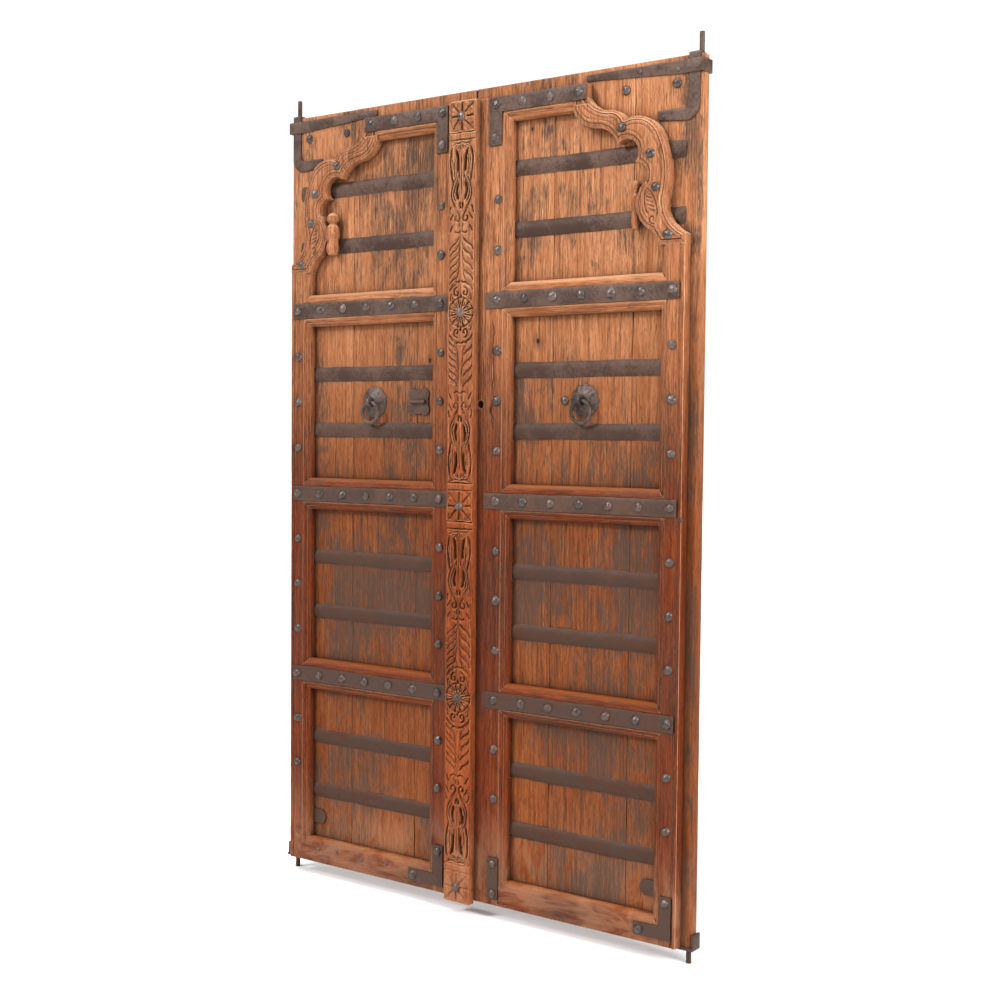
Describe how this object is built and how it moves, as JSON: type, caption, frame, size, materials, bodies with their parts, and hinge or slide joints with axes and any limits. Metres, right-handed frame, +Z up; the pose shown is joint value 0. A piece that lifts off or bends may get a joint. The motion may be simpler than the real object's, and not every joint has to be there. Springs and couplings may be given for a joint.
{
  "type": "carved temple door",
  "caption": "Pair of plank-and-frame timber door leaves on pivot pins, with cusped corner brackets, a carved cover strip, studded iron straps and ring pulls.",
  "frame": {"origin": "middle of the left leaf's lower pivot pin, on the pivot line in the middle of the boards' thickness", "axes": "+X across the pair to the right as seen from the carved front, +Z up, the carved front faces -Y"},
  "size_m": [1.266, 0.0945, 2.102],
  "materials": {
    "board_wood": "old sawn boards, weathered, dark streaks",
    "frame_wood": "worn and sanded, pale arrises",
    "carved_wood": "carved, worn high points, dark hollows",
    "strap_iron": "hammered dark iron with brown rust",
    "bar_iron": "hammered dark iron with brown rust",
    "pivot_iron": "forged dark iron",
    "stud_iron": "forged heads, worn bright on top",
    "ring_iron": "forged, polished by hands",
    "lock_iron": "dark rusted sheet iron"
  },
  "bodies": {
    "left_leaf": {"left_arch_bracket": "carved_wood", "left_bottom_panel_bars": "bar_iron", "left_bottom_rail": "frame_wood", "left_cover_strip": "carved_wood", "left_cover_strip_studs": "stud_iron", "left_inner_board": "board_wood", "left_inner_foot_iron": "strap_iron", "left_inner_stile": "frame_wood", "left_lock_bolt": "lock_iron", "left_lock_plate": "lock_iron", "left_lower_panel_bars": "bar_iron", "left_lower_pivot": "pivot_iron", "left_lower_rail": "frame_wood", "left_lower_strap": "strap_iron", "left_middle_board": "board_wood", "left_middle_rail": "frame_wood", "left_middle_strap": "strap_iron", "left_outer_board": "board_wood", "left_outer_stile": "frame_wood", "left_ring_boss": "ring_iron", "left_ring_staple": "ring_iron", "left_studs": "stud_iron", "left_top_corner_iron": "strap_iron", "left_top_panel_bars": "bar_iron", "left_top_rail": "frame_wood", "left_upper_panel_bars": "bar_iron", "left_upper_pivot": "pivot_iron", "left_upper_pivot_band": "pivot_iron", "left_upper_rail": "frame_wood", "left_upper_strap": "strap_iron"},
    "right_leaf": {"right_arch_bracket": "carved_wood", "right_bottom_panel_bars": "bar_iron", "right_bottom_rail": "frame_wood", "right_inner_board": "board_wood", "right_inner_foot_strap": "strap_iron", "right_inner_stile": "frame_wood", "right_lower_panel_bars": "bar_iron", "right_lower_pivot": "pivot_iron", "right_lower_rail": "frame_wood", "right_lower_strap": "strap_iron", "right_middle_board": "board_wood", "right_middle_rail": "frame_wood", "right_middle_strap": "strap_iron", "right_outer_board": "board_wood", "right_outer_foot_iron": "strap_iron", "right_outer_stile": "frame_wood", "right_ring_boss": "ring_iron", "right_ring_staple": "ring_iron", "right_studs": "stud_iron", "right_top_corner_iron": "strap_iron", "right_top_panel_bars": "bar_iron", "right_top_rail": "frame_wood", "right_upper_panel_bars": "bar_iron", "right_upper_pivot": "pivot_iron", "right_upper_pivot_band": "pivot_iron", "right_upper_rail": "frame_wood", "right_upper_strap": "strap_iron"},
    "left_ring": {"left_pull_ring": "ring_iron"},
    "right_ring": {"right_pull_ring": "ring_iron"}
  },
  "joints": [
    {"name": "right_leaf_swing", "type": "hinge", "parent": "left_leaf", "child": "right_leaf", "pos_m": [1.226, 0, 0], "axis": [0, 0, -1], "range_deg": [0, 95]},
    {"name": "left_ring_swing", "type": "hinge", "parent": "left_leaf", "child": "left_ring", "pos_m": [0.28732, -0.03575, 1.26682], "axis": [-1, 0, 0], "range_deg": [0, 150]},
    {"name": "right_ring_swing", "type": "hinge", "parent": "right_leaf", "child": "right_ring", "pos_m": [0.93868, -0.03575, 1.26682], "axis": [-1, 0, 0], "range_deg": [0, 150]}
  ]
}
